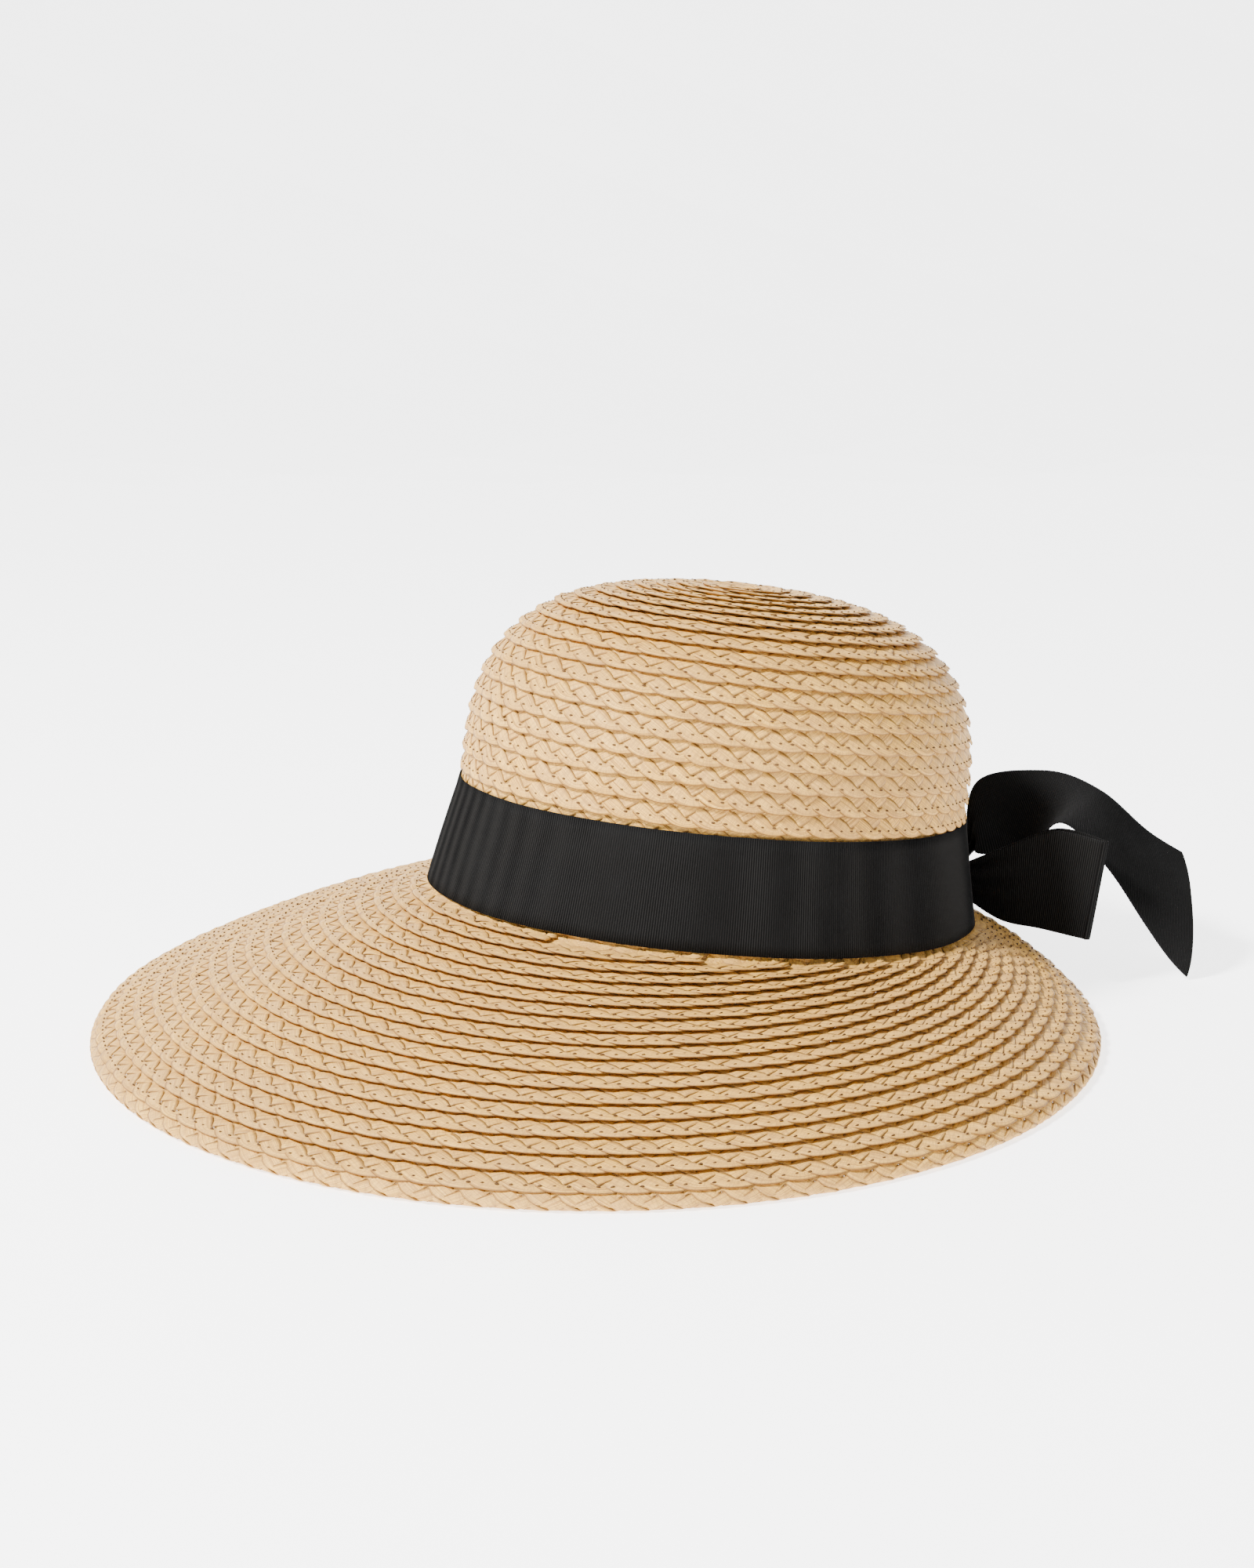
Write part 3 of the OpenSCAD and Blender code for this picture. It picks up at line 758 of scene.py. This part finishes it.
# ---- Inside ----------------------------------------------------------------------------------
def make_lining(cloth, cotton, thread):
    middle = SWEAT_IN + SWEAT_T / 2
    grid = crown_band_grid(0.6, SWEAT_H, middle, 14, 900, wave=0.12)
    band = ribbon_piece("sweatband_cloth", grid[:, ::-1], cloth, closed=True, thick=SWEAT_T, ribs=False)
    finish_piece(band, "sweatband", "sweatband")
    lap = 12 / (CROWN_W + CROWN_L) * 2
    grid = crown_band_grid(4, SWEAT_H - 1, middle + SWEAT_T + 0.2, 14, 30, closed=False,
                           a0=math.pi / 2 - lap, a1=math.pi / 2 + lap)
    join = ribbon_piece("sweatband_lap", grid[:, ::-1], cloth, thick=SWEAT_T, ribs=False)
    finish_piece(join, "sweatband", "sweatband_join")
    half = 24 / (CROWN_W + CROWN_L) * 2
    centre = math.radians(108)
    grid = crown_band_grid(8, SWEAT_H - 8, SWEAT_IN + SWEAT_T + 0.4, 15, 48, closed=False,
                           a0=centre - half, a1=centre + half)
    label = ribbon_piece("label_cloth", grid[:, ::-1], cotton, thick=0.35, ribs=False)
    finish_piece(label, "label", "size_label")
    turn = Row(lambda m, a: crown_wall(np.full_like(a, 2.2) - m, a, SWEAT_IN + SWEAT_T),
               lambda a: np.zeros_like(a), 0, 2 * math.pi, lift=0, tilt=0)
    skin = Skin()
    add_stitches(skin, turn.place, np.arange(0, turn.length - 2, 3.4), 2.6, 0.5, 0.0, -0.12)
    for edge in (9.5, SWEAT_H - 9.5):
        add_stitches(skin, lambda s, v, z, edge=edge: turn.place(s, v - edge + 2.2, z),
                     turn.length * 0.3 + np.arange(-10.5, 11, 2.1), 1.5, 0.35, 0.0, -0.42)
    finish_piece(skin.mesh("thread_sweatband", thread), "ribbon_thread", "sweatband_thread")


# ---- Materials -------------------------------------------------------------------------------
class Nodes:
    """A material with a short way to add and link its nodes."""

    def __init__(self, name, roughness=0.6, specular=0.4, sheen=0.0):
        self.material = bpy.data.materials.new(name)
        self.material.use_nodes = True
        self.tree = self.material.node_tree
        self.shader = self.tree.nodes["Principled BSDF"]
        self.shader.inputs["Roughness"].default_value = roughness
        self.shader.inputs["Specular IOR Level"].default_value = specular
        self.shader.inputs["Sheen Weight"].default_value = sheen

    def add(self, kind, **sockets):
        node = self.tree.nodes.new(kind)
        for name, value in sockets.items():
            name = name.replace("_", " ")
            if isinstance(value, bpy.types.NodeSocket):
                self.tree.links.new(value, node.inputs[name])
            else:
                node.inputs[name].default_value = value
        return node

    def fibre(self, scale):
        """The mesh's own coordinates along and across its fibres, in millimetres, scaled."""
        source = self.tree.nodes.new("ShaderNodeAttribute")
        source.attribute_name = "fibre"
        return self.add("ShaderNodeMapping", Vector=source.outputs["Vector"], Scale=scale).outputs["Vector"]

    def edge(self, half, start, end, most):
        """0 in the middle of a strand's faces, and most along its edges: the mask for the painted shade
        between strands.
        """
        source = self.tree.nodes.new("ShaderNodeAttribute")
        source.attribute_name = "fibre"
        axes = self.add("ShaderNodeSeparateXYZ", Vector=source.outputs["Vector"])
        size = self.tree.nodes.new("ShaderNodeMath")
        size.operation = "ABSOLUTE"
        self.tree.links.new(axes.outputs["Y"], size.inputs[0])
        ramp = self.tree.nodes.new("ShaderNodeMapRange")
        for name, value in (("From Min", start * half), ("From Max", end * half), ("To Max", most)):
            ramp.inputs[name].default_value = value
        self.tree.links.new(size.outputs[0], ramp.inputs["Value"])
        return ramp.outputs["Result"]

    def place(self, scale):
        """The piece's own coordinates, in metres, scaled."""
        source = self.tree.nodes.new("ShaderNodeTexCoord")
        return self.add("ShaderNodeMapping", Vector=source.outputs["Object"], Scale=scale).outputs["Vector"]

    def noise(self, vector, scale=1.0, detail=3.0, rough=0.55):
        node = self.add("ShaderNodeTexNoise", Vector=vector, Scale=scale, Detail=detail, Roughness=rough)
        return node.outputs["Fac"]

    def ramp(self, value, *stops):
        node = self.tree.nodes.new("ShaderNodeValToRGB")
        self.tree.links.new(value, node.inputs["Fac"])
        elements = node.color_ramp.elements
        while len(elements) < len(stops):
            elements.new(0.5)
        for element, (at, colour) in zip(elements, stops):
            element.position = at
            element.color = colour if len(colour) == 4 else (*colour, 1)
        return node.outputs["Color"]

    def mix(self, factor, a, b, kind="MIX"):
        node = self.tree.nodes.new("ShaderNodeMix")
        node.data_type, node.blend_type = "RGBA", kind
        for socket, value in ((node.inputs["Factor"], factor), (node.inputs[6], a), (node.inputs[7], b)):
            if isinstance(value, bpy.types.NodeSocket):
                self.tree.links.new(value, socket)
            elif isinstance(value, tuple):
                socket.default_value = (*value, 1)
            else:
                socket.default_value = value
        return node.outputs[2]

    def link(self, value, socket):
        self.tree.links.new(value, self.shader.inputs[socket])

    def bump(self, height, distance, strength=1.0, normal=None):
        node = self.add("ShaderNodeBump", Height=height, Distance=distance, Strength=strength)
        if normal is not None:
            self.tree.links.new(normal, node.inputs["Normal"])
        return node.outputs["Normal"]


def straw_material(name="straw_plait"):
    m = Nodes(name, roughness=0.55, specular=0.35)
    streaks = m.noise(m.fibre((0.05, 2.6, 1)), detail=5)
    strand_tone = m.noise(m.fibre((0.006, 0, 7.3)), detail=1)
    wrinkles = m.noise(m.fibre((2.4, 0.35, 1)), detail=3)
    stains = m.noise(m.place((28, 28, 28)), detail=3)
    pale, mid, deep = (0.88, 0.51, 0.095), (0.64, 0.34, 0.055), (0.28, 0.12, 0.016)
    colour = m.ramp(streaks, (0.30, deep), (0.47, mid), (0.64, pale))
    colour = m.mix(m.ramp(strand_tone, (0.35, (0, 0, 0)), (0.65, (1, 1, 1))), colour,
                   m.mix(0.4, colour, (0.50, 0.29, 0.10)))
    # Painted shade: the colour is darkened in the troughs of the wrinkles, where the wrinkle bump is
    # lowest.
    wrinkle_painted_shade = m.ramp(wrinkles, (0.42, (0.5, 0.5, 0.5)), (0.52, (0, 0, 0)))
    colour = m.mix(wrinkle_painted_shade, colour, (0.36, 0.19, 0.06))
    stained = m.ramp(stains, (0.45, (0, 0, 0)), (0.75, (0.25, 0.25, 0.25)))
    colour = m.mix(stained, colour, (0.47, 0.27, 0.09))
    # Painted shade: each strand's face is darkened towards its edges, where shade falls in the crevices
    # between strands.
    colour = m.mix(m.edge(STRAND_W / 2, 0.7, 1.0, 0.85), colour, (0.13, 0.05, 0.008))
    m.link(colour, "Base Color")
    m.link(m.ramp(streaks, (0.3, (0.72, 0.72, 0.72)), (0.7, (0.5, 0.5, 0.5))), "Roughness")
    normal = m.bump(streaks, 0.00025, 0.8)
    m.link(m.bump(wrinkles, 0.0002, 0.7, normal), "Normal")
    return m.material


def thread_material(name, colour, dark):
    m = Nodes(name, roughness=0.7, specular=0.3)
    twist = m.noise(m.fibre((3.0, 3.0, 1)), detail=2)
    m.link(m.ramp(twist, (0.35, dark), (0.65, colour)), "Base Color")
    m.link(m.bump(twist, 0.0001, 0.6), "Normal")
    return m.material


def ribbon_material():
    m = Nodes("grosgrain", roughness=0.62, specular=0.02)
    ribs = m.tree.nodes.new("ShaderNodeTexWave")
    ribs.wave_type, ribs.bands_direction = "BANDS", "X"
    m.tree.links.new(m.fibre((1, 0, 0)), ribs.inputs["Vector"])
    ribs.inputs["Scale"].default_value = 2 * math.pi / 20 / RIB
    ribs.inputs["Phase Offset"].default_value = math.pi / 2
    yarn = m.noise(m.fibre((1.2, 7, 1)), detail=2)
    worn = m.noise(m.place((40, 40, 40)), detail=3)
    colour = m.ramp(yarn, (0.3, (0.002, 0.002, 0.002)), (0.7, (0.006, 0.006, 0.006)))
    # Painted highlight: the black ribbon is made lighter in stripes at the ribs' spacing, as the ribs catch
    # the light.
    colour = m.mix(m.ramp(ribs.outputs["Fac"], (0.3, (0, 0, 0)), (0.95, (0.6, 0.6, 0.6))), colour,
                   (0.020, 0.019, 0.018))
    colour = m.mix(m.ramp(worn, (0.45, (0, 0, 0)), (0.7, (0.3, 0.3, 0.3))), colour, (0.012, 0.012, 0.012))
    m.link(colour, "Base Color")
    m.link(m.ramp(yarn, (0.3, (0.75, 0.75, 0.75)), (0.7, (0.55, 0.55, 0.55))), "Roughness")
    m.link(m.bump(yarn, 0.00012, 0.7), "Normal")
    return m.material


def weave_material(name, light, dark, fine, roughness=0.8):
    m = Nodes(name, roughness=roughness, specular=0.25, sheen=0.2)
    warp = m.noise(m.fibre((fine, 0.4, 1)), detail=2)
    weft = m.noise(m.fibre((0.4, fine, 1)), detail=2)
    cross = m.mix(0.5, warp, weft)
    m.link(m.ramp(cross, (0.38, dark), (0.62, light)), "Base Color")
    m.link(m.bump(cross, 0.0002, 0.7), "Normal")
    return m.material


def floor_material():
    m = Nodes("floor", roughness=0.9, specular=0.1)
    m.shader.inputs["Emission Color"].default_value = (1, 1, 1, 1)
    m.shader.inputs["Emission Strength"].default_value = 2.8
    grain = m.noise(m.place((9, 9, 9)), detail=2)
    m.link(m.ramp(grain, (0.3, (0.90, 0.90, 0.90)), (0.7, (0.92, 0.92, 0.92))), "Base Color")
    return m.material


# ---- Scene -----------------------------------------------------------------------------------
def make_camera():
    data = bpy.data.cameras.new("camera")
    data.sensor_fit, data.sensor_height, data.lens = "VERTICAL", 36, 54.5
    camera = bpy.data.objects.new("camera", data)
    bpy.context.scene.collection.objects.link(camera)
    camera.location = (0.7273, -0.3945, 0.2702)
    aim = Vector((-0.0020, -0.0116, 0.0841)) - camera.location
    camera.rotation_euler = aim.to_track_quat("-Z", "Y").to_euler()
    bpy.context.scene.camera = camera


def make_light(name, place, target, size, power):
    data = bpy.data.lights.new(name, "AREA")
    data.shape, data.size, data.energy = "DISK", size, power
    light = bpy.data.objects.new(name, data)
    light.location = place
    light.rotation_euler = (Vector(target) - Vector(place)).to_track_quat("-Z", "Y").to_euler()
    bpy.context.scene.collection.objects.link(light)


def make_studio():
    """A pale floor that curves up behind the hat, a soft key from the front left and a pale sky."""
    size, count = 6.0, 61
    away, curve_from, curve = np.array([-0.886, 0.465]), 2.0, 0.8
    grid = np.stack(np.meshgrid(np.linspace(-size, size, count), np.linspace(-size, size, count)), -1)
    ground = grid.reshape(-1, 2)
    behind = np.maximum(ground @ away - curve_from, 0)
    points = np.concatenate([ground, curve * behind[:, None] ** 2], 1)
    quads = [(r * count + c, r * count + c + 1, (r + 1) * count + c + 1, (r + 1) * count + c)
             for r in range(count - 1) for c in range(count - 1)]
    mesh = bpy.data.meshes.new("floor")
    mesh.from_pydata(points.tolist(), [], quads)
    mesh.materials.append(floor_material())
    floor = bpy.data.objects.new("floor", mesh)
    bpy.context.scene.collection.objects.link(floor)
    make_light("key", (0.3, -1.6, 1.7), (0, 0, 0.05), 0.45, 170)
    make_light("fill", (1.6, 0.9, 1.2), (0, 0, 0.05), 1.6, 9)
    world = bpy.data.worlds.new("sky")
    bpy.context.scene.world = world
    world.use_nodes = True
    sky = world.node_tree.nodes["Background"]
    sky.inputs["Color"].default_value = (0.97, 0.98, 1, 1)
    sky.inputs["Strength"].default_value = 0.45


def keep_cad_nodes(thread):
    """The tacks stay as CAD nodes, with a thread material."""
    for piece in bpy.data.objects:
        if piece.get("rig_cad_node") in ("band_tacks", "bow_tack"):
            piece.data.materials.clear()
            piece.data.materials.append(thread)


make_camera()
straw = straw_material()
thread = thread_material("sewing_thread", (0.13, 0.065, 0.02), (0.05, 0.022, 0.006))
black_thread = thread_material("black_thread", (0.03, 0.03, 0.03), (0.012, 0.012, 0.012))
ribbon = ribbon_material()
lining = weave_material("sweatband_twill", (0.030, 0.030, 0.033), (0.012, 0.012, 0.014), 3.2)
cotton = weave_material("label_cotton", (0.82, 0.79, 0.72), (0.70, 0.66, 0.58), 3.6)
make_crown(straw, thread)
make_brim(straw, thread)
make_band(ribbon)
make_bow(ribbon)
make_lining(lining, cotton, black_thread)
keep_cad_nodes(black_thread)
make_studio()
